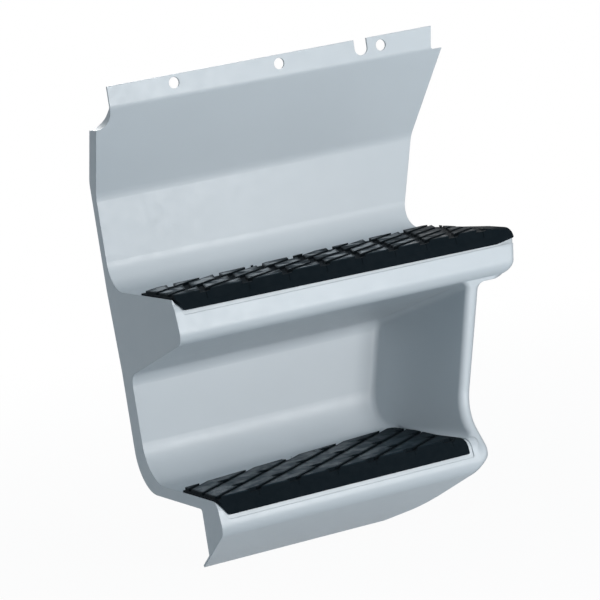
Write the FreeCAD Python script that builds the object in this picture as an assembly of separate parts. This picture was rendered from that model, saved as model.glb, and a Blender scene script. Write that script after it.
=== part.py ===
"""Truck cab step: a moulded two-step entry panel with a rubber tread mat on each step.

Frame: the origin is the centre of the middle flange hole, on the flange's back face. +X runs along
the steps to the viewer's right, +Y goes back into the vehicle, +Z is up. Millimetres.
"""
import math
import os

import FreeCAD
import Part
from FreeCAD import Vector

# Wall of the moulded panel
WALL = 4.0

# Fixing flange at the top
HOLE_PITCH = 204.0
HOLE_COUNT = 3
HOLE_DIAMETER = 20.0
FLANGE_LEFT_RISE = 14.0
FLANGE_RIGHT_RISE = 18.0
FLANGE_DROP = 23.0
FLANGE_LEFT_X = -329.0
FLANGE_RIGHT_X = 303.0
FLANGE_RIGHT_LEAN = 7.0
LEFT_SHOULDER_Z = -58.0
LEFT_SHOULDER_RADIUS = 24.0
RIGHT_SHOULDER_Z = -24.0
RIGHT_SHOULDER_RADIUS = 5.0
SLOT_X = 164.0
SLOT_WIDTH = 26.0
SLOT_LOW_Z = -12.0
SLOT_ROUNDNESS = 0.999

# Panel above the steps
LEFT_X = -355.0
APRON_DEPTH = 66.0
APRON_FOOT_Z = -176.0
FLANGE_BEND_RADIUS = 18.0
APRON_BEND_RADIUS = 40.0
COVE_RADIUS = 50.0

# Upper step
UPPER_TREAD_Z = -341.0
UPPER_NOSE_Y = -204.0
NOSE_LEAN = 0.17
UPPER_NOSE_HEIGHT = 73.5
UPPER_TOP_RADIUS = 26.0
UPPER_CHIN_RADIUS = 22.0
SOFFIT_SLOPE = 0.307

# Foot recess and lower step
RISER = 340.0
RECESS_WALL_Y = 32.0
RECESS_ROOF_RADIUS = 25.0
RECESS_COVE_RADIUS = 70.0
LOWER_NOSE_Y = -254.0
LOWER_NOSE_HEIGHT = 53.0
LOWER_NOSE_LEAN = 0.224
LOWER_TOP_RADIUS = 20.0
LOWER_CHIN_RADIUS = 24.0
LIP_Y = -160.0
LIP_DROP = 125.5

# Cheek that closes the recess on the right, with its rounded front rim
CHEEK_FRONT_Y = -201.0
CHEEK_RIM_WIDTH = 20.0
CHEEK_SLOPE = 0.245
CHEEK_CORNER_RADIUS = 10.0
CHEEK_RIM_RADIUS = 9.0
CHEEK_FOOT_RISE = 36.0
CHEEK_FOOT_LEAN = 1.0
CHEEK_FOOT_RADIUS = 95.0
RIM_TOE_RADIUS = 30.0

# Right-hand outline, seen from the front in the plane of OUTLINE_Y. It widens towards the front.
OUTLINE_Y = -208.0
UPPER_FLARE = 0.294
UPPER_END_X = 300.0
UPPER_END_Z = -366.0
UPPER_END_SLOPE = 0.275
UPPER_END_FOOT_Z = -425.5
UPPER_END_RADIUS = 38.0
APRON_END_SLOPE = 0.22
APRON_END_RADIUS = 60.0
LOWER_FLARE = 0.225
LOWER_END_X = 217.5
LOWER_END_Z = -454.0
LOWER_END_SLOPE = 0.262
LOWER_END_HEAD_Z = -425.0
LOWER_END_RADIUS = 16.0
CORNER_Z = -716.0
CORNER_RADIUS = 16.0
SWEEP_X = 72.0
SWEEP_Z = -792.0
SWEEP_RADIUS = 90.0
SWEEP_END_X = -60.0

# Depth of the side walls behind the panel
BACK_SHOULDER_Z = -150.0
BACK_SHOULDER_RADIUS = 40.0
BACK_HEAD_Z = -52.0
BACK_HEAD_RADIUS = 12.0
BACK_UPPER_Y = 82.0
BACK_LOWER_Y = 72.0
BACK_TREAD_DEPTH = 20.0
BACK_FLOOR_RADIUS = 72.0
BACK_NOSE_Y = -189.0
BACK_NOSE_RADIUS = 6.0
LIP_REACH = 80.0

# Tread mats
MAT_POCKET = 1.6
MAT_CLEARANCE = 1.2
MAT_BASE = 2.4
BLOCK_HEIGHT = 5.0
BLOCK_MARGIN = 3.0
MAT_NOSE_RADIUS = 4.0
MAT_NOSE_SETBACK = 3.0
SKIRT_PROUD = 2.2
SKIRT_SLANT = 15.0
SKIRT_SLIT_WIDTH = 2.0
SKIRT_SLIT_DEPTH = 0.8
MAT_REBATE = 6.5
MAT_LEFT_GAP = 2.5
MAT_CORNER_RADIUS = 12.0
MAT_TIP_RADIUS = 3.0
MAT_END_RADIUS = 8.0
MAT_REACH = 60.0
UPPER_MAT_RIGHT_GAP = 3.0
UPPER_MAT_END_RUN = 40.0
UPPER_MAT_END_FALL = 8.0
UPPER_SKIRT = 20.0
UPPER_FOOT_FALL = 4.0
UPPER_TIP_RUN = 36.0
UPPER_TIP_RISE = 6.0
UPPER_MAT_BACK_LEFT_Y = -66.0
UPPER_MAT_BACK_RIGHT_Y = -2.0
LOWER_MAT_RIGHT_X = 127.0
LOWER_MAT_FLARE = 0.13
LOWER_MAT_END_RUN = 12.0
LOWER_MAT_END_FALL = 5.0
LOWER_SKIRT = 24.0
LOWER_FOOT_FALL = 0.0
LOWER_TIP_RUN = 12.0
LOWER_TIP_RISE = 0.0
LOWER_MAT_BACK_LEFT_Y = -112.0
LOWER_MAT_BACK_RIGHT_Y = -36.0

# Slanting grooves of the treads. On the upper mat they draw together to the right and are joined by
# cross grooves. On the lower mat they have notches bitten out of their left banks.
UPPER_GROOVE_X = -142.0
UPPER_GROOVE_PITCH = 72.0
UPPER_PITCH_RATIO = 0.95
UPPER_GROOVE_ANGLE = 31.0
UPPER_GROOVE_WIDTH = 11.0
CROSS_ANGLE = 40.0
CROSS_WIDTH = 18.0
LOWER_GROOVE_X = -129.0
LOWER_GROOVE_PITCH = 75.0
LOWER_GROOVE_ANGLE = 37.0
LOWER_GROOVE_WIDTH = 8.0
NOTCH_PITCH = 92.0
NOTCH_START = -8.0
NOTCH_LENGTH = 20.0
NOTCH_DEPTH = 13.0

# Studs moulded under the mats, pushed through holes in the treads
STUD_DIAMETER = 8.0
STUD_CLEARANCE = 0.3
STUD_HEAD_DIAMETER = 12.0
STUD_HEAD_HEIGHT = 3.0
STUD_INSET = 60.0
STUD_COLUMNS = 3
STUD_FRONT_GAP = 45.0
STUD_ROW_PITCH = 65.0
STUD_ROWS = 2

# Reach of cutting solids beyond the part, and how near counts as touching
FAR = 900.0
NEAR = 1e-3

# Names of the corners of the front skin, from the top down
CORNERS = (
    "flange_top",
    "flange_foot",
    "apron_foot",
    "wall_foot",
    "upper_nose",
    "upper_chin",
    "recess_roof",
    "recess_foot",
    "lower_nose",
    "lower_chin",
    "lip",
)

LOWER_TREAD_Z = UPPER_TREAD_Z - RISER
PANEL_Y = -WALL + APRON_DEPTH
LIP_Z = LOWER_TREAD_Z - LIP_DROP


def rounded(corners):
    """Edges through (u, v, radius) corners, with each inner corner rounded by an arc."""
    points = [Vector(u, v, 0) for u, v, _ in corners]
    edges = []
    start = points[0]
    for i in range(1, len(points) - 1):
        before = (points[i - 1] - points[i]).normalize()
        after = (points[i + 1] - points[i]).normalize()
        radius = corners[i][2]
        half = math.acos(max(-1.0, min(1.0, before.dot(after)))) / 2
        if radius <= 0 or half > math.radians(89.9):
            edges.append((start, points[i]))
            start = points[i]
            continue
        reach = radius / math.tan(half)
        enter = points[i] + before * reach
        leave = points[i] + after * reach
        bisector = (before + after).normalize()
        middle = points[i] + bisector * (radius / math.sin(half) - radius)
        if (enter - start).Length > NEAR:
            edges.append((start, enter))
        edges.append((enter, middle, leave))
        start = leave
    edges.append((start, points[-1]))
    return edges


def offset(corners, distance):
    """The same path moved sideways to its right by distance, with radii that stay concentric."""
    points = [Vector(u, v, 0) for u, v, _ in corners]
    lines = []
    for a, b in zip(points[:-1], points[1:]):
        along = (b - a).normalize()
        lines.append((a + Vector(along.y, -along.x, 0) * distance, along))
    moved = [lines[0][0]]
    for (p, d), (q, e) in zip(lines[:-1], lines[1:]):
        cross = d.x * e.y - d.y * e.x
        gap = q - p
        moved.append(p + d * ((gap.x * e.y - gap.y * e.x) / cross))
    last, along = lines[-1]
    moved.append(last + along * (points[-1] - points[-2]).Length)
    result = [(moved[0].x, moved[0].y, 0.0)]
    for i in range(1, len(points) - 1):
        turn = lines[i - 1][1].x * lines[i][1].y - lines[i - 1][1].y * lines[i][1].x
        radius = corners[i][2] + (distance if turn > 0 else -distance)
        result.append((moved[i].x, moved[i].y, max(radius, 0.0) if corners[i][2] > 0 else 0.0))
    result.append((moved[-1].x, moved[-1].y, 0.0))
    return result


def face(corners, place):
    """A closed face through rounded corners. place turns a (u, v) point into a Vector."""
    edges = []
    for points in rounded(list(corners) + [corners[0]]):
        spots = [place(p.x, p.y) for p in points]
        edges.append(Part.LineSegment(*spots) if len(spots) == 2 else Part.Arc(*spots))
    return Part.Face(Part.Wire([edge.toShape() for edge in edges]))


def along_x(corners, low, high):
    """Prism of a (y, z) profile between two X places."""
    return face(corners, lambda y, z: Vector(low, y, z)).extrude(Vector(high - low, 0, 0))


def along_y(corners, low, high):
    """Prism of an (x, z) outline between two Y places."""
    return face(corners, lambda x, z: Vector(x, low, z)).extrude(Vector(0, high - low, 0))


def flared(corners, flare):
    """Endless prism of an (x, z) outline in the plane of OUTLINE_Y, which widens by flare to the front."""
    along = Vector(-flare, 1, 0).normalize()
    across = Vector(along.y, -along.x, 0)
    square = [(x * along.y, z, radius) for x, z, radius in corners]
    middle = Vector(0, OUTLINE_Y, 0)
    base = face(square, lambda u, z: middle + across * u + Vector(0, 0, z) - along * 2 * FAR)
    return base.extrude(along * 4 * FAR)


def main_path():
    """Front skin in (y, z), from the flange's top to the lip, with the recess."""
    chin_y = UPPER_NOSE_Y - NOSE_LEAN * UPPER_NOSE_HEIGHT
    chin_z = UPPER_TREAD_Z - UPPER_NOSE_HEIGHT
    roof_z = chin_z - SOFFIT_SLOPE * (RECESS_WALL_Y - chin_y)
    lower_chin_y = LOWER_NOSE_Y - LOWER_NOSE_LEAN * LOWER_NOSE_HEIGHT
    return [
        (-WALL, FLANGE_RIGHT_RISE, 0),
        (-WALL, -FLANGE_DROP, FLANGE_BEND_RADIUS),
        (PANEL_Y, APRON_FOOT_Z, APRON_BEND_RADIUS),
        (PANEL_Y, UPPER_TREAD_Z, COVE_RADIUS),
        (UPPER_NOSE_Y, UPPER_TREAD_Z, UPPER_TOP_RADIUS),
        (chin_y, chin_z, UPPER_CHIN_RADIUS),
        (RECESS_WALL_Y, roof_z, RECESS_ROOF_RADIUS),
        (RECESS_WALL_Y, LOWER_TREAD_Z, RECESS_COVE_RADIUS),
        (LOWER_NOSE_Y, LOWER_TREAD_Z, LOWER_TOP_RADIUS),
        (lower_chin_y, LOWER_TREAD_Z - LOWER_NOSE_HEIGHT, LOWER_CHIN_RADIUS),
        (LIP_Y, LIP_Z, 0),
    ]


def rim_path():
    """Front skin in (y, z) along the cheek: from inside the upper step down to the lower nose."""
    path = main_path()
    reach = CHEEK_FRONT_Y - LOWER_NOSE_Y - LOWER_NOSE_LEAN * CHEEK_FOOT_RISE
    drop = reach / (CHEEK_FOOT_LEAN - LOWER_NOSE_LEAN)
    foot_z = LOWER_TREAD_Z + CHEEK_FOOT_RISE
    rim = [
        (CHEEK_FRONT_Y, UPPER_TREAD_Z, 0),
        (CHEEK_FRONT_Y, foot_z, CHEEK_FOOT_RADIUS),
        (CHEEK_FRONT_Y - CHEEK_FOOT_LEAN * drop, foot_z - drop, RIM_TOE_RADIUS),
    ]
    return path[:CORNERS.index("upper_nose")] + rim + path[CORNERS.index("lower_chin"):]


def back_path():
    """Back edge of the side walls in (y, z), from the lip up to the flange's top."""
    inner = offset(main_path(), -WALL)
    (chin_y, chin_z, _), (lip_y, lip_z, _) = inner[-2], inner[-1]
    nose_z = chin_z + (lip_z - chin_z) * (BACK_NOSE_Y - chin_y) / (lip_y - chin_y)
    floor_z = LOWER_TREAD_Z - BACK_TREAD_DEPTH
    roof_z = inner[CORNERS.index("recess_roof")][1]
    apron_lean = APRON_DEPTH / (APRON_FOOT_Z + FLANGE_DROP)
    head_y = BACK_UPPER_Y + apron_lean * (BACK_HEAD_Z - BACK_SHOULDER_Z)
    return [
        (lip_y, lip_z, 0),
        (BACK_NOSE_Y, nose_z, 0),
        (BACK_NOSE_Y, floor_z, BACK_NOSE_RADIUS),
        (BACK_LOWER_Y, floor_z, BACK_FLOOR_RADIUS),
        (BACK_LOWER_Y, roof_z, 0),
        (BACK_UPPER_Y, UPPER_TREAD_Z, 0),
        (BACK_UPPER_Y, BACK_SHOULDER_Z, BACK_SHOULDER_RADIUS),
        (head_y, BACK_HEAD_Z, BACK_HEAD_RADIUS),
        (0, -FLANGE_DROP, 0),
        (0, FLANGE_RIGHT_RISE, 0),
    ]


def upper_outline():
    """Right-hand end of the flange, the apron and the upper step in (x, z), from the top down."""

    def end(z):
        return UPPER_END_X + UPPER_END_SLOPE * (z - UPPER_END_Z)

    apron_x = end(APRON_FOOT_Z)
    return [
        (apron_x + APRON_END_SLOPE * (FAR - APRON_FOOT_Z), FAR, 0),
        (apron_x, APRON_FOOT_Z, APRON_END_RADIUS),
        (end(UPPER_END_FOOT_Z), UPPER_END_FOOT_Z, UPPER_END_RADIUS),
        (lower_end(UPPER_END_Z), UPPER_END_FOOT_Z, 0),
        (lower_end(UPPER_END_Z), -FAR, 0),
    ]


def lower_end(z):
    """X of the cheek's outer end at a height, in the plane of OUTLINE_Y."""
    return LOWER_END_X + LOWER_END_SLOPE * (z - LOWER_END_Z)


def lower_outline():
    """Right-hand end of the cheek, the lower nose and the swept lip in (x, z), from the top down."""
    return [
        (FAR, LOWER_END_HEAD_Z, 0),
        (lower_end(LOWER_END_HEAD_Z), LOWER_END_HEAD_Z, LOWER_END_RADIUS),
        (lower_end(CORNER_Z), CORNER_Z, CORNER_RADIUS),
        (SWEEP_X, SWEEP_Z, SWEEP_RADIUS),
        (SWEEP_END_X, 2 * LIP_Z - SWEEP_Z, 0),
    ]


def inside_end(inset=0.0):
    """Everything to the left of the right-hand outline, moved inwards by inset."""
    upper = offset(upper_outline(), inset)
    lower = offset(lower_outline(), inset)
    beside_upper = [(-FAR, -FAR, 0), (-FAR, FAR, 0)]
    beside_lower = [(-FAR, lower[-1][1], 0), (-FAR, FAR, 0), (FAR, FAR, 0)]
    return flared(upper + beside_upper, UPPER_FLARE).common(flared(lower + beside_lower, LOWER_FLARE))


def inside_left(inset=0.0):
    """Everything to the right of the left-hand end and its shoulder, moved inwards by inset."""
    path = [
        (LEFT_X, -FAR, 0),
        (LEFT_X, LEFT_SHOULDER_Z, 0),
        (FLANGE_LEFT_X, LEFT_SHOULDER_Z, LEFT_SHOULDER_RADIUS),
        (FLANGE_LEFT_X, FAR, 0),
    ]
    return along_y(offset(path, inset) + [(FAR, FAR, 0), (FAR, -FAR, 0)], -FAR, FAR)


def left_of_cheek(beyond=0.0):
    """Everything to the left of the cheek's inner face, moved to the right by beyond."""
    high = cheek_x(OUTLINE_Y, FAR) + beyond
    low = cheek_x(OUTLINE_Y, -FAR) + beyond
    return flared([(high, FAR, 0), (low, -FAR, 0), (-2 * FAR, -FAR, 0), (-2 * FAR, FAR, 0)], LOWER_FLARE)


def cheek_x(y, z):
    """X of the cheek's inner face at a depth and height."""
    return LOWER_END_X - CHEEK_RIM_WIDTH + CHEEK_SLOPE * (z - LOWER_END_Z) - LOWER_FLARE * (y - OUTLINE_Y)


def on_cheek(point):
    """Whether a point lies in the cheek's inner face."""
    return abs(point.x - cheek_x(point.y, point.z)) < NEAR


def extended(path):
    """The path with its first and last stretch made longer, so that a cut passes the edges."""
    (u0, v0, _), (u1, v1, _) = path[-2], path[-1]
    reach = LIP_REACH / math.hypot(u1 - u0, v1 - v0)
    end = (u1 + (u1 - u0) * reach, v1 + (v1 - v0) * reach, 0)
    return [(path[0][0], FAR, 0)] + path[1:-1] + [end]


def recess_void():
    """The foot recess in front of its wall, left of the cheek, with coved corners at the cheek."""
    path = main_path()
    first = CORNERS.index("upper_chin")
    chin_y, chin_z, _ = path[first]
    above_chin = [(-FAR, 0, 0), (chin_y - NOSE_LEAN * chin_z, 0, 0)]
    corners = above_chin + path[first:CORNERS.index("lower_nose")] + [(-FAR, LOWER_TREAD_Z, 0)]
    void = along_x(corners, -FAR, FAR).common(left_of_cheek())
    seam = []
    for edge in void.Edges:
        middle = edge.valueAt((edge.FirstParameter + edge.LastParameter) / 2)
        if on_cheek(middle) and middle.y > -FAR + 1 and middle.z < -1:
            seam.append(edge)
    return void.makeFillet(CHEEK_CORNER_RADIUS, seam)


def cheek_block():
    """The cheek as a solid block around the recess, with the front rim rounded."""
    block = along_x(rim_path() + back_path(), -FAR, FAR).cut(recess_void())
    rim = []
    for edge in block.Edges:
        middle = edge.valueAt((edge.FirstParameter + edge.LastParameter) / 2)
        if on_cheek(middle) and abs(middle.y - CHEEK_FRONT_Y) < NEAR:
            rim.append(edge)
    return block.makeFillet(CHEEK_RIM_RADIUS, rim)


def steps_block():
    """Both steps as one solid block, with the lower nose sloped to the cheek's rim at its right end."""
    block = along_x(main_path() + back_path(), -FAR, FAR)
    foot = CORNERS.index("upper_chin")
    rim = rim_path()[foot:foot + 3]
    head_z = rim[0][1] + CHEEK_FOOT_RADIUS
    before_rim = [(CHEEK_FRONT_Y, head_z, 0)] + rim + [(-FAR, rim[-1][1], 0), (-FAR, head_z, 0)]
    return block.cut(along_x(before_rim, -FAR, FAR).cut(left_of_cheek()))


def hollow():
    """What the panel's walls enclose, open at the back: three cutting solids."""
    right_of_left_wall = inside_left(WALL)
    skin = extended(offset(main_path(), -WALL))
    back = [(FAR, skin[-1][1], 0), (FAR, FAR, 0)]
    behind_skin = along_x(skin + back, -FAR, FAR)
    lower = behind_skin.common(left_of_cheek()).common(right_of_left_wall)

    upper_chin = CORNERS.index("upper_chin")
    chin_y, chin_z, _ = skin[upper_chin]
    soffit_end = (FAR, chin_z - SOFFIT_SLOPE * (FAR - chin_y), 0)
    box_path = skin[:upper_chin + 1] + [soffit_end, (FAR, FAR, 0)]
    upper = along_x(box_path, -FAR, FAR).common(inside_end(WALL)).common(right_of_left_wall)

    rim = extended(offset(rim_path(), -WALL))
    soffit_y, soffit_z, _ = main_path()[upper_chin]
    head = CORNERS.index("upper_nose")
    rim_y = rim[head][0]
    tail = rim[head + 1:]
    side = [
        (FAR, soffit_z - SOFFIT_SLOPE * (FAR - soffit_y), 0),
        (rim_y, soffit_z - SOFFIT_SLOPE * (rim_y - soffit_y), 0),
    ] + tail + [(FAR, tail[-1][1], 0)]
    beside_cheek = along_x(side, -FAR, FAR).cut(left_of_cheek(WALL))
    return [lower, upper, beside_cheek]


def flange_cuts():
    """Fixing holes, the open slot, the right-hand shoulder and the slanting top of the flange."""
    cuts = []
    for i in range(HOLE_COUNT):
        x = (i - (HOLE_COUNT - 1) / 2) * HOLE_PITCH
        cuts.append(Part.makeCylinder(HOLE_DIAMETER / 2, 4 * WALL, Vector(x, 2 * WALL, 0), Vector(0, -1, 0)))
    half = SLOT_WIDTH / 2
    radius = half * SLOT_ROUNDNESS
    slot = [
        (SLOT_X - half, FAR, 0),
        (SLOT_X - half, SLOT_LOW_Z, radius),
        (SLOT_X + half, SLOT_LOW_Z, radius),
        (SLOT_X + half, FAR, 0),
    ]
    cuts.append(along_y(slot, -4 * WALL, 4 * WALL))
    top_right_x = FLANGE_RIGHT_X + FLANGE_RIGHT_LEAN
    right = [
        (FAR, RIGHT_SHOULDER_Z, 0),
        (FLANGE_RIGHT_X, RIGHT_SHOULDER_Z, RIGHT_SHOULDER_RADIUS),
        (top_right_x, FLANGE_RIGHT_RISE, 0),
        (top_right_x, FAR, 0),
        (FAR, FAR, 0),
    ]
    cuts.append(along_y(right, -FAR, FAR))
    top = [
        (FLANGE_LEFT_X, FLANGE_LEFT_RISE, 0),
        (top_right_x, FLANGE_RIGHT_RISE, 0),
        (top_right_x, FAR, 0),
        (FLANGE_LEFT_X, FAR, 0),
    ]
    cuts.append(along_y(top, -FAR, FAR))
    return cuts


def step_shell():
    """The moulded panel: flange, apron, both steps, recess and cheek in one wall."""
    outer = steps_block().fuse(cheek_block()).common(inside_end()).common(inside_left())
    shell = outer.cut(hollow()).cut(flange_cuts())
    for mat in (UPPER_MAT, LOWER_MAT):
        clear = offset(mat.step_path(), MAT_BASE + BLOCK_HEIGHT)
        pocket = mat_layer(mat, -MAT_POCKET, clear, MAT_CLEARANCE, MAT_REBATE)
        holes = [stud_pin(spot, STUD_CLEARANCE) for spot in stud_spots(mat)]
        shell = shell.cut([pocket] + holes)
    return shell


class Mat:
    """Where one tread mat lies: the nose it covers, its skirt, its plan and its grooves."""

    def __init__(self, nose, skirt, foot, back_left_y, back_right_y, right_x, end, grooves, crossed):
        first = CORNERS.index(nose)
        self.nose_corner, self.chin_corner = main_path()[first:first + 2]
        self.front_y, self.tread_z, _ = self.nose_corner
        self.foot_z = self.tread_z - skirt
        self.back_left_y = back_left_y
        self.back_right_y = back_right_y
        self.right_x = right_x
        self.end_run, self.end_fall = end
        self.foot_fall, self.tip_run, self.tip_rise = foot
        self.groove_x, self.groove_pitch, self.pitch_ratio, self.groove_angle, self.groove_width = grooves
        self.crossed = crossed

    def step_path(self):
        """Tread and nose of the step under the mat in (y, z), from back to front and down."""
        return [(FAR, self.tread_z, 0), self.nose_corner, self.chin_corner]

    def top_path(self, top):
        """Tread surface and skirt face of the mat in (y, z), with the tread at height top."""
        chin_y, chin_z, _ = self.chin_corner
        lean = (self.front_y - chin_y) / (self.tread_z - chin_z)
        chin = (chin_y - SKIRT_PROUD, chin_z, 0)
        edge_y = self.front_y - SKIRT_PROUD + lean * top + MAT_NOSE_SETBACK
        return [(FAR, self.tread_z + top, 0), (edge_y, self.tread_z + top, MAT_NOSE_RADIUS), chin]


def upper_mat_right(y):
    """Right edge of the upper mat, along the flared end of the step."""
    end = UPPER_END_X + UPPER_END_SLOPE * (UPPER_TREAD_Z - UPPER_END_Z)
    return end - UPPER_FLARE * (y - OUTLINE_Y) - UPPER_MAT_RIGHT_GAP


def lower_mat_right(y):
    """Right edge of the lower mat, beside the foot of the cheek."""
    return LOWER_MAT_RIGHT_X - LOWER_MAT_FLARE * (y - LOWER_NOSE_Y)


UPPER_MAT = Mat(
    nose="upper_nose",
    skirt=UPPER_SKIRT,
    foot=(UPPER_FOOT_FALL, UPPER_TIP_RUN, UPPER_TIP_RISE),
    back_left_y=UPPER_MAT_BACK_LEFT_Y,
    back_right_y=UPPER_MAT_BACK_RIGHT_Y,
    right_x=upper_mat_right,
    end=(UPPER_MAT_END_RUN, UPPER_MAT_END_FALL),
    grooves=(UPPER_GROOVE_X, UPPER_GROOVE_PITCH, UPPER_PITCH_RATIO, UPPER_GROOVE_ANGLE, UPPER_GROOVE_WIDTH),
    crossed=True,
)
LOWER_MAT = Mat(
    nose="lower_nose",
    skirt=LOWER_SKIRT,
    foot=(LOWER_FOOT_FALL, LOWER_TIP_RUN, LOWER_TIP_RISE),
    back_left_y=LOWER_MAT_BACK_LEFT_Y,
    back_right_y=LOWER_MAT_BACK_RIGHT_Y,
    right_x=lower_mat_right,
    end=(LOWER_MAT_END_RUN, LOWER_MAT_END_FALL),
    grooves=(LOWER_GROOVE_X, LOWER_GROOVE_PITCH, 1.0, LOWER_GROOVE_ANGLE, LOWER_GROOVE_WIDTH),
    crossed=False,
)


def mat_outline(mat, grow=0.0, rebate=0.0):
    """Plan and front view of a mat as one solid, grown by grow.

    A rebate grows it further at the right and leaves its foot level.
    """
    left = LEFT_X + MAT_LEFT_GAP - grow
    right = mat.right_x(mat.front_y) + grow + rebate
    beyond = grow + rebate
    front = mat.front_y - MAT_REACH
    back_right_x = mat.right_x(mat.back_right_y)
    back_slope = (mat.back_right_y - mat.back_left_y) / (back_right_x - LEFT_X)
    plan = [
        (left, front, 0),
        (left, mat.back_left_y + grow, MAT_TIP_RADIUS),
        (back_right_x + beyond, mat.back_right_y + grow + back_slope * beyond, MAT_CORNER_RADIUS),
        (mat.right_x(front) + beyond, front, 0),
    ]
    low = mat.tread_z - MAT_REACH
    high = mat.tread_z + MAT_REACH
    from_above = face(plan, lambda x, y: Vector(x, y, low)).extrude(Vector(0, 0, high - low))
    top = mat.tread_z + MAT_BASE + BLOCK_HEIGHT + beyond
    foot = mat.foot_z - beyond
    tip_x = right - mat.tip_run
    tip_z = foot if rebate > 0 else foot - mat.foot_fall
    end_z = foot if rebate > 0 else tip_z + mat.tip_rise
    slope = mat.end_fall / mat.end_run
    front_view = [
        (left, high, 0),
        (left, mat.tread_z, 0),
        (left + SKIRT_SLANT, foot, MAT_CORNER_RADIUS / 2),
        (tip_x, tip_z, MAT_END_RADIUS),
        (right, end_z, MAT_TIP_RADIUS),
        (right, top - mat.end_fall, MAT_END_RADIUS),
        (right - mat.end_run - (high - top) / slope, high, 0),
    ]
    return from_above.common(along_y(front_view, front, FAR))


def mat_layer(mat, low, top_path, grow=0.0, rebate=0.0):
    """A layer over the tread and nose, from low above them up to the given top path."""
    under = offset(mat.step_path(), low)
    return along_x(top_path + under[::-1], -FAR, FAR).common(mat_outline(mat, grow, rebate))


def slanted(start, along, left, corners, low, high):
    """Upright prism of (along, left) corners measured from a point of a groove."""
    spots = [start + along * a + left * b for a, b in corners]
    spots = [Vector(p.x, p.y, low) for p in spots]
    return Part.Face(Part.makePolygon(spots + spots[:1])).extrude(Vector(0, 0, high - low))


def groove_starts(mat):
    """X places where the grooves meet the front edge, and the pitch to the left of each."""
    turn = math.radians(mat.groove_angle)
    x = mat.groove_x
    pitch = mat.groove_pitch / mat.pitch_ratio
    lowest = LEFT_X - (mat.back_right_y - mat.front_y) / math.tan(turn)
    while x > lowest:
        x -= pitch
        pitch /= mat.pitch_ratio
    starts = []
    while x < mat.right_x(mat.front_y):
        starts.append((x, pitch))
        pitch *= mat.pitch_ratio
        x += pitch
    return starts


def groove_cuts(mat):
    """The slanting grooves of a tread, with their notches or cross grooves."""
    turn = math.radians(mat.groove_angle)
    cross_lean = 1 / math.tan(math.radians(CROSS_ANGLE))
    along = Vector(math.cos(turn), math.sin(turn), 0)
    left = Vector(-math.sin(turn), math.cos(turn), 0)
    low = mat.tread_z + MAT_BASE
    high = low + 2 * BLOCK_HEIGHT
    run = (mat.back_right_y - mat.front_y) / along.y
    half = mat.groove_width / 2
    cuts = []
    for x, pitch in groove_starts(mat):
        start = Vector(x, mat.front_y, 0)
        bank = pitch * math.sin(turn)
        groove = [(-MAT_REACH, -half), (run + MAT_REACH, -half), (run + MAT_REACH, half), (-MAT_REACH, half)]
        cuts.append(slanted(start, along, left, groove, low, high))
        for j in range(math.ceil((run - NOTCH_START) / NOTCH_PITCH)):
            at = NOTCH_START + j * NOTCH_PITCH
            if mat.crossed:
                shift = at + bank * cross_lean
                cut = [(at, 0), (at + CROSS_WIDTH, 0), (shift + CROSS_WIDTH, bank), (shift, bank)]
            else:
                end = at + NOTCH_LENGTH
                corner = (at + NOTCH_LENGTH / 2, NOTCH_DEPTH)
                cut = [(at, 0), (end, 0), (end, NOTCH_DEPTH / 2), corner, (at, NOTCH_DEPTH)]
            cuts.append(slanted(start, along, left, cut, low, high))
    return cuts


def skirt_slits(mat):
    """Thin upright slits in the face of the skirt, one below each groove."""
    edge, chin = offset(mat.top_path(MAT_BASE + BLOCK_HEIGHT), -SKIRT_SLIT_DEPTH)[1:]
    ahead = min(edge[0], chin[0]) - MAT_REACH
    profile = [(edge[0], edge[1], 0), (chin[0], chin[1], 0), (ahead, chin[1], 0), (ahead, edge[1], 0)]
    slits = []
    for x, _ in groove_starts(mat):
        if x > LEFT_X + 2 * SKIRT_SLANT:
            middle = x + mat.groove_width / 2
            slits.append(along_x(profile, middle - SKIRT_SLIT_WIDTH / 2, middle + SKIRT_SLIT_WIDTH / 2))
    return slits


def stud_spots(mat):
    """Places of a mat's studs on the tread."""
    spots = []
    for row in range(STUD_ROWS):
        y = mat.front_y + STUD_FRONT_GAP + row * STUD_ROW_PITCH
        first = LEFT_X + STUD_INSET
        last = mat.right_x(y) - STUD_INSET
        for column in range(STUD_COLUMNS):
            x = first + (last - first) * column / (STUD_COLUMNS - 1)
            spots.append(Vector(x, y, mat.tread_z - MAT_POCKET))
    return spots


def stud_pin(spot, clearance=0.0):
    """Shank of one stud, down through the tread."""
    length = WALL - MAT_POCKET
    return Part.makeCylinder(STUD_DIAMETER / 2 + clearance, length, spot, Vector(0, 0, -1))


def stud_head(spot):
    """Head of one stud, which holds it under the tread."""
    under = spot - Vector(0, 0, WALL - MAT_POCKET)
    return Part.makeCylinder(STUD_HEAD_DIAMETER / 2, STUD_HEAD_HEIGHT, under, Vector(0, 0, -1))


def tread_mat(mat):
    """One rubber mat: a base sheet, the grooved tread with its skirt, and the studs."""
    base = mat_layer(mat, -MAT_POCKET, offset(mat.step_path(), MAT_BASE))
    tread = mat_layer(mat, 0.0, mat.top_path(MAT_BASE + BLOCK_HEIGHT), -BLOCK_MARGIN)
    tread = tread.cut(groove_cuts(mat) + skirt_slits(mat))
    studs = []
    for spot in stud_spots(mat):
        studs += [stud_pin(spot), stud_head(spot)]
    return base.fuse([tread] + studs)


def save(name, shape):
    """Write one sub-part to its own file."""
    shape.removeSplitter().exportStep("parts/%s.step" % name)


os.makedirs("parts", exist_ok=True)
save("step_shell", step_shell())
save("upper_tread_mat", tread_mat(UPPER_MAT))
save("lower_tread_mat", tread_mat(LOWER_MAT))
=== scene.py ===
"""Looks of the truck cab step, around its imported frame. Metres, in the part's own frame."""
import math

import bpy
from mathutils import Matrix, Vector


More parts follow.
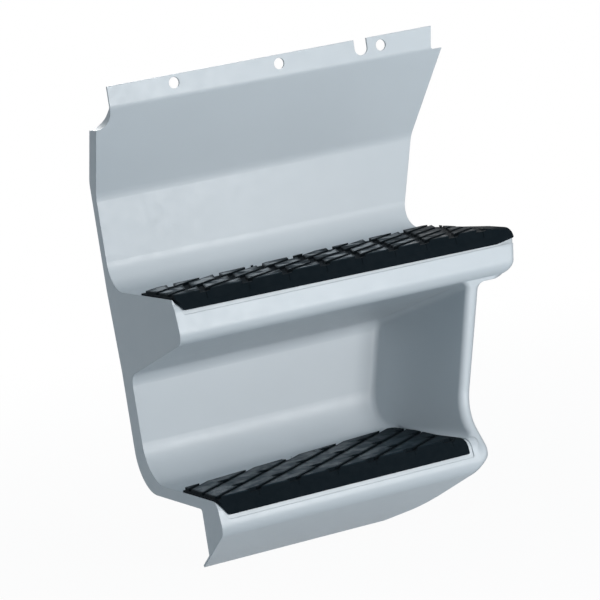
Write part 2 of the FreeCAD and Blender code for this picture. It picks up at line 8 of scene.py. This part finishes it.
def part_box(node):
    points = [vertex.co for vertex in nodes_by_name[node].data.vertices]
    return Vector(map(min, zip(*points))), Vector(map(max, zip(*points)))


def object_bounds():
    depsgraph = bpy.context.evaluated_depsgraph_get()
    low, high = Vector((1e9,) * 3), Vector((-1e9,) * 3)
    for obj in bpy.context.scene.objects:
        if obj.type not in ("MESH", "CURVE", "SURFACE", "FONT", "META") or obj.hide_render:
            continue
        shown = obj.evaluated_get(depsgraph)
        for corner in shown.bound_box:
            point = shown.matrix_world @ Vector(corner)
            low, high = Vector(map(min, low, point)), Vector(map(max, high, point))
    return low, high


# Camera: where it stands, how it is turned in degrees, and its focal length in picture widths
CAMERA_PLACE = Vector((-2.2167, -4.6674, 0.3211))
CAMERA_AZIMUTH = 25.13
CAMERA_ELEVATION = 8.17
CAMERA_ROLL = -8.68
CAMERA_REACH = 200.0
FOCAL_WIDTHS = 4.895
SENSOR_MM = 36.0

# Colours as linear values
PAINT = (0.570, 0.610, 0.640)
PAINT_DARK = (0.545, 0.585, 0.615)
RUBBER = (0.0028, 0.0066, 0.0096)
# Paler tone of the mats' block tops: partly wear, partly a painted sheen of glints
RUBBER_WEAR_AND_SHEEN = (0.014, 0.032, 0.045)
FLOOR_PALE = (0.40, 0.48, 0.53)
ROOM = (0.215, 0.265, 0.30)
WHITE = (1.0, 1.0, 1.0)

# Noise textures as scale and detail
PAINT_CLOUD = (5.0, 2.0)
PAINT_MOTTLE = (60.0, 2.0)
ORANGE_PEEL = (900.0, 3.0)
WEAR_CLOUD = (38.0, 4.0)
RUBBER_MOTTLE = (90.0, 2.0)
RUBBER_GRAIN = (1400.0, 3.0)

# Bands of noise values that are spread over a whole range
NOISE_BAND = (0.3, 0.7)
PATCH_BAND = (0.38, 0.62)
NONE_TO_FULL = (0.0, 1.0)
FULL_TO_NONE = (1.0, 0.0)

# Roughness as the two ends of its mottle, and fine relief as strength and distance
PAINT_ROUGHNESS = (0.37, 0.44)
RUBBER_ROUGHNESS = (0.84, 0.94)
PEEL_RELIEF = (0.05, 0.0006)
GRAIN_RELIEF = (0.08, 0.0004)
RUBBER_SPECULAR = 0.12

# Radii of the softened edges
EDGE_SAMPLES = 6
PAINT_EDGE = 0.0012
END_EDGE = 0.010
RUBBER_EDGE = 0.0016

# Right-hand ends of the upper and lower step: the plane of the end, and the heights it spans.
# The larger radius sets in between two depths inside that plane and fades over a height.
RIGHT_ENDS = (
    ((1.0, 0.294, -0.275), 0.3395, -0.430, -0.346),
    ((1.0, 0.225, -0.262), 0.2897, -0.810, -0.432),
)
END_DEPTHS = (0.030, 0.018)
END_FADE = 0.006

# Wear and painted sheen of the mats: where along X it starts to fade into painted shade, where it
# has faded, the polish it gives, and the share of it on dull patches
WEAR_AND_SHEEN = {
    "upper_tread_mat": (0.10, 0.30, 0.82, 0.15),
    "lower_tread_mat": (-0.04, 0.13, 0.60, 0.6),
}
# Share of the paler tops left at the mats' right-hand ends, where it gives way to painted shade
SHADED_SHARE = 0.06

# Only the tops of the blocks get wear and a painted sheen: between these depths, and away from the
# blocks' edges, where a normal softened over the crown's radius still agrees with the true one
WEAR_AND_SHEEN_DEPTHS = (0.0018, 0.0003)
BLOCK_CROWN = 0.009
CROWN_BAND = (0.95, 0.998)

# Floor: the share of plain white over the lit floor near the part and far from it
FLOOR_GAP = 0.0005
FLOOR_SIZE = 90.0
CLEAR_BAND = (0.7, 2.4)
CLEAR_SHARES = (0.955, 1.0)

# Studio lamps: place, width, height and power in watts
LAMPS = {
    "front_box": ((0.95, -3.6, -0.1), 1.4, 1.1, 85.0),
    "top_box": ((0.4, -1.3, 2.6), 1.8, 1.4, 12.0),
    "back_box": ((0.6, 3.4, 0.6), 1.8, 1.4, 42.0),
}
LAMP_AIM = Vector((0.0, 0.0, -0.4))


def emptied_tree(owner):
    """Node tree of a material or world, without nodes."""
    owner.use_nodes = True
    owner.node_tree.nodes.clear()
    return owner.node_tree


def add(tree, kind, **settings):
    """A new node with its settings."""
    node = tree.nodes.new("ShaderNode" + kind)
    for name, value in settings.items():
        setattr(node, name, value)
    return node


def feed(tree, node, **values):
    """Link sockets to a node's inputs or set numbers, vectors and colours on them."""
    for name, value in values.items():
        put(tree, node.inputs[name.replace("_", " ")], value)


def put(tree, socket, value):
    """Link a socket to an input or set a number, vector or colour on it."""
    if isinstance(value, bpy.types.NodeSocket):
        tree.links.new(value, socket)
    elif socket.type == "RGBA":
        socket.default_value = (*value, 1.0)
    else:
        socket.default_value = value


def show(tree, kind, shader):
    """Make a shader the surface of a material or world."""
    feed(tree, add(tree, kind), Surface=shader)


def noise(tree, scale, detail):
    """Noise over the part's own coordinates."""
    texture = add(tree, "TexNoise")
    place = add(tree, "TexCoord").outputs["Object"]
    feed(tree, texture, Scale=scale, Detail=detail, Vector=place)
    return texture.outputs["Fac"]


def ramp(tree, value, band, ends):
    """Value mapped from a band to the two ends of a range, and held there beyond the band."""
    mapped = add(tree, "MapRange")
    feed(tree, mapped, From_Min=band[0], From_Max=band[1], To_Min=ends[0], To_Max=ends[1])
    feed(tree, mapped, Value=value)
    return mapped.outputs["Result"]


def mix(tree, share, a, b):
    """Colour between a and b."""
    mixed = add(tree, "Mix", data_type="RGBA")
    feed(tree, mixed, Factor=share, A=a, B=b)
    return mixed.outputs["Result"]


def calculate(tree, operation, *values):
    """Result of a math node on sockets or numbers."""
    node = add(tree, "Math", operation=operation)
    for socket, value in zip(node.inputs, values):
        put(tree, socket, value)
    return node.outputs["Value"]


def product(tree, result, *factors):
    """Product of several values."""
    for factor in factors:
        result = calculate(tree, "MULTIPLY", result, factor)
    return result


def measure(tree, operation, *vectors):
    """Number that a vector math node gives for its vectors."""
    node = add(tree, "VectorMath", operation=operation)
    for socket, vector in zip(node.inputs, vectors):
        put(tree, socket, vector)
    return node.outputs["Value"]


def coordinates(tree, place):
    """X, Y and Z of a place, by name."""
    split = add(tree, "SeparateXYZ")
    feed(tree, split, Vector=place)
    return split.outputs


def soft_edge(tree, radius):
    """Normal with the edges softened to a radius."""
    edge = add(tree, "Bevel", samples=EDGE_SAMPLES)
    feed(tree, edge, Radius=radius)
    return edge.outputs["Normal"]


def relief(tree, normal, height, strength, distance):
    """Normal with fine relief added from a height."""
    bump = add(tree, "Bump")
    feed(tree, bump, Strength=strength, Distance=distance, Height=height, Normal=normal)
    return bump.outputs["Normal"]


def end_radius(tree):
    """Radius of the shell's edges: small, and generous along its right-hand end."""
    place = add(tree, "NewGeometry").outputs["Position"]
    height = coordinates(tree, place)["Z"]
    shares = []
    for across, reach, low, high in RIGHT_ENDS:
        inside = [reach - depth for depth in END_DEPTHS]
        near = ramp(tree, measure(tree, "DOT_PRODUCT", place, across), inside, NONE_TO_FULL)
        above = ramp(tree, height, (low, low + END_FADE), NONE_TO_FULL)
        below = ramp(tree, height, (high, high + END_FADE), FULL_TO_NONE)
        shares.append(product(tree, near, above, below))
    share = calculate(tree, "MAXIMUM", *shares)
    return calculate(tree, "MULTIPLY_ADD", share, END_EDGE - PAINT_EDGE, PAINT_EDGE)


def painted_plastic():
    """Satin silver-grey paint on moulded plastic: faint orange peel and slow changes of tone."""
    material = bpy.data.materials.new("painted_plastic")
    tree = emptied_tree(material)
    tone = ramp(tree, noise(tree, *PAINT_CLOUD), NOISE_BAND, NONE_TO_FULL)
    edge = soft_edge(tree, end_radius(tree))
    shader = add(tree, "BsdfPrincipled")
    feed(
        tree, shader,
        Base_Color=mix(tree, tone, PAINT_DARK, PAINT),
        Roughness=ramp(tree, noise(tree, *PAINT_MOTTLE), NOISE_BAND, PAINT_ROUGHNESS),
        Normal=relief(tree, edge, noise(tree, *ORANGE_PEEL), *PEEL_RELIEF),
    )
    show(tree, "OutputMaterial", shader.outputs["BSDF"])
    return material


def wear_and_sheen(tree, top, shade_from, shaded_at, dull_share):
    """Share of wear and painted sheen: on the tops of the blocks, in patches, and fading into
    painted shade to the right.
    """
    where = add(tree, "NewGeometry").outputs
    place = coordinates(tree, where["Position"])
    high = ramp(tree, place["Z"], [top - depth for depth in WEAR_AND_SHEEN_DEPTHS], NONE_TO_FULL)
    crown = measure(tree, "DOT_PRODUCT", soft_edge(tree, BLOCK_CROWN), where["True Normal"])
    middle = ramp(tree, crown, CROWN_BAND, NONE_TO_FULL)
    patchy = ramp(tree, noise(tree, *WEAR_CLOUD), PATCH_BAND, (dull_share, 1.0))
    # Painted shade: the paler tops darken towards the mats' right-hand ends
    painted_shade_fade = ramp(tree, place["X"], (shade_from, shaded_at), (1.0, SHADED_SHARE))
    return product(tree, high, middle, patchy, painted_shade_fade)


def tread_rubber(name, top, shade_from, shaded_at, polish, dull_share):
    """Black rubber, paler and polished where shoes rub the blocks, whose tops lie at height top;
    the paler tone is partly a painted sheen, with painted shade to the right.
    """
    material = bpy.data.materials.new(name)
    tree = emptied_tree(material)
    wear_and_sheen_share = wear_and_sheen(tree, top, shade_from, shaded_at, dull_share)
    matt = ramp(tree, noise(tree, *RUBBER_MOTTLE), NOISE_BAND, RUBBER_ROUGHNESS)
    edge = soft_edge(tree, RUBBER_EDGE)
    shader = add(tree, "BsdfPrincipled")
    feed(
        tree, shader,
        Base_Color=mix(tree, wear_and_sheen_share, RUBBER, RUBBER_WEAR_AND_SHEEN),
        Roughness=calculate(tree, "MULTIPLY_ADD", wear_and_sheen_share, -polish, matt),
        Specular_IOR_Level=RUBBER_SPECULAR,
        Normal=relief(tree, edge, noise(tree, *RUBBER_GRAIN), *GRAIN_RELIEF),
    )
    show(tree, "OutputMaterial", shader.outputs["BSDF"])
    return material


def dress(node, material):
    """Give a node its material."""
    node.data.materials.clear()
    node.data.materials.append(material)


def background_rays(tree):
    """1 for rays of the camera and for those that a mirror or glass sends on."""
    path = add(tree, "LightPath").outputs
    sent_on = calculate(tree, "MAXIMUM", path["Is Glossy Ray"], path["Is Transmission Ray"])
    return calculate(tree, "MAXIMUM", path["Is Camera Ray"], sent_on)


def blend(tree, share, shader, over):
    """Shader with another one mixed over it."""
    mixed = add(tree, "MixShader")
    for socket, value in zip(mixed.inputs, (share, shader, over)):
        put(tree, socket, value)
    return mixed.outputs["Shader"]


def floor_white():
    """Pale floor that shows as white, with a trace of its lit self and its shadow near the part."""
    material = bpy.data.materials.new("floor_white")
    tree = emptied_tree(material)
    place = add(tree, "NewGeometry").outputs["Position"]
    clear = ramp(tree, measure(tree, "LENGTH", place), CLEAR_BAND, CLEAR_SHARES)
    share = product(tree, background_rays(tree), clear)
    lit = add(tree, "BsdfDiffuse")
    feed(tree, lit, Color=FLOOR_PALE)
    white = add(tree, "Emission")
    feed(tree, white, Color=WHITE)
    surface = blend(tree, share, lit.outputs["BSDF"], white.outputs["Emission"])
    show(tree, "OutputMaterial", surface)
    return material


def lay_floor(height):
    """Plain pale floor under the part."""
    half = FLOOR_SIZE / 2
    corners = [(-half, -half), (half, -half), (half, half), (-half, half)]
    mesh = bpy.data.meshes.new("floor")
    mesh.from_pydata([(x, y, height) for x, y in corners], [], [(0, 1, 2, 3)])
    mesh.materials.append(floor_white())
    floor = bpy.data.objects.new("floor", mesh)
    bpy.context.scene.collection.objects.link(floor)


def softbox(name, place, width, height, power):
    """A rectangular studio lamp."""
    data = bpy.data.lights.new(name, "AREA")
    data.shape = "RECTANGLE"
    data.size = width
    data.size_y = height
    data.energy = power
    lamp = bpy.data.objects.new(name, data)
    lamp.location = place
    lamp.rotation_mode = "QUATERNION"
    lamp.rotation_quaternion = (LAMP_AIM - Vector(place)).to_track_quat("-Z", "Y")
    bpy.context.scene.collection.objects.link(lamp)


def light_room():
    """Soft light from the front, the top and behind, in a dim even room that shows as white."""
    world = bpy.data.worlds.new("room")
    bpy.context.scene.world = world
    tree = emptied_tree(world)
    room, white = add(tree, "Background"), add(tree, "Background")
    feed(tree, room, Color=ROOM)
    feed(tree, white, Color=WHITE)
    shades = (node.outputs["Background"] for node in (room, white))
    show(tree, "OutputWorld", blend(tree, background_rays(tree), *shades))
    for name, lamp in LAMPS.items():
        softbox(name, *lamp)


def place_camera():
    """Camera at the photograph's viewing angle."""
    azimuth, elevation, roll = map(
        math.radians, (CAMERA_AZIMUTH, CAMERA_ELEVATION, CAMERA_ROLL))
    right = Vector((math.cos(azimuth), -math.sin(azimuth), 0))
    back = Vector((
        -math.sin(azimuth) * math.cos(elevation),
        -math.cos(azimuth) * math.cos(elevation),
        math.sin(elevation),
    ))
    up = back.cross(right)
    axes = Matrix((
        math.cos(roll) * right + math.sin(roll) * up,
        math.cos(roll) * up - math.sin(roll) * right,
        back,
    )).transposed()
    data = bpy.data.cameras.new("camera")
    data.sensor_width = SENSOR_MM
    data.lens = SENSOR_MM * FOCAL_WIDTHS
    data.clip_end = CAMERA_REACH
    camera = bpy.data.objects.new("camera", data)
    camera.matrix_world = Matrix.Translation(CAMERA_PLACE) @ axes.to_4x4()
    bpy.context.scene.collection.objects.link(camera)
    bpy.context.scene.camera = camera


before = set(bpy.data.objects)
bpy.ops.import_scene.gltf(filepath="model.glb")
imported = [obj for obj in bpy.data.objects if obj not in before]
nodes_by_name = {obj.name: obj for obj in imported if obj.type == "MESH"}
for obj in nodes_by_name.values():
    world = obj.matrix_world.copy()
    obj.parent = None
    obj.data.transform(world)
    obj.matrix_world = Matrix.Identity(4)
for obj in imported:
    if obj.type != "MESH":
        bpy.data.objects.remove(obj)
cad_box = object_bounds()

dress(nodes_by_name["step_shell"], painted_plastic())
for name, use in WEAR_AND_SHEEN.items():
    dress(nodes_by_name[name], tread_rubber(name + "_rubber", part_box(name)[1].z, *use))

lay_floor(cad_box[0].z - FLOOR_GAP)
light_room()
place_camera()
bpy.context.scene.view_settings.view_transform = "Standard"
